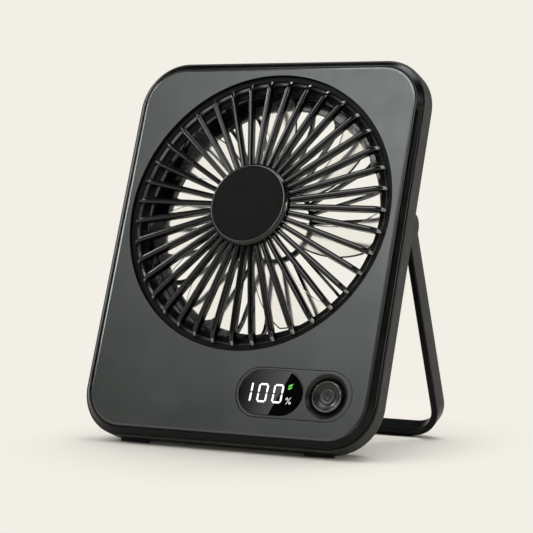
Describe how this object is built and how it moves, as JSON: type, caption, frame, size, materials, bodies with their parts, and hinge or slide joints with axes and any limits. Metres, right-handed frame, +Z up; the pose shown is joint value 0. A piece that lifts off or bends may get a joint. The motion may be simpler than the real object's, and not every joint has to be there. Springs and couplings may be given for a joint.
{
  "type": "portable camping fan",
  "caption": "Flat portable camping fan with a ribbed round grille, display and button on the front, and a hinged strap stand behind that leans it back or folds flat.",
  "frame": {"origin": "centre of the footprint, on the surface the fan stands on", "axes": "+Z up, -Y the way the fan blows, +X to the right seen from the front"},
  "size_m": [0.146, 0.0973, 0.1722],
  "materials": {
    "satin_grey": "satin",
    "black_gloss": "glossy",
    "black_matt": "matt",
    "housing_grey": "satin",
    "plate_grey": "satin",
    "lens_black": "glossy",
    "display_white": "matt",
    "clear_plastic": "clear",
    "board_green": "satin",
    "steel": "bright",
    "switch_black": "matt",
    "cell_foil": "foil",
    "foam": "foam",
    "magnet": "dull",
    "lamination": "dull",
    "copper": "enamelled wire",
    "nylon": "matt",
    "rubber_black": "matt",
    "lead_black": "matt",
    "lead_red": "matt"
  },
  "bodies": {
    "housing": {"face_panel": "satin_grey", "front_bezel": "black_gloss", "front_grille": "black_gloss", "grille_cap": "black_matt", "control_plate": "plate_grey", "display_lens": "lens_black", "display_module": "display_white", "tact_switch": "steel", "main_board": "board_green", "usb_socket": "steel", "battery_cells": "cell_foil", "battery_pad": "foam", "rear_shell": "housing_grey", "rear_grille": "black_matt", "motor_base": "black_matt", "stator_core": "lamination", "stator_coils": "copper", "motor_bearings": "steel", "housing_screws": "steel", "grille_screws": "steel", "board_screws": "steel", "motor_lead": "lead_black", "battery_lead": "lead_red", "body_feet": "rubber_black", "pivot_bushing_left": "nylon", "pivot_bushing_right": "nylon", "friction_washer_left": "steel", "friction_washer_right": "steel"},
    "rotor": {"impeller": "clear_plastic", "rotor_cup": "steel", "rotor_magnet": "magnet", "motor_shaft": "steel"},
    "button": {"power_button": "black_matt", "switch_plunger": "switch_black"},
    "stand": {"stand_bail": "housing_grey", "stand_feet": "rubber_black", "pivot_pin_left": "steel", "pivot_pin_right": "steel"}
  },
  "joints": [
    {"name": "impeller_spin", "type": "hinge", "parent": "housing", "child": "rotor", "pos_m": [0, -0.01344, 0.10458], "axis": [0, -0.9397, 0.342], "continuous": true},
    {"name": "stand_pivot", "type": "hinge", "parent": "housing", "child": "stand", "pos_m": [0, 0.00314, 0.09866], "axis": [1, 0, 0], "range_deg": [-43, 137]},
    {"name": "power_button_press", "type": "slide", "parent": "housing", "child": "button", "axis": [0, 0.9397, -0.342], "range_m": [0, 0.0005], "stiffness_N_per_m": 1500}
  ]
}
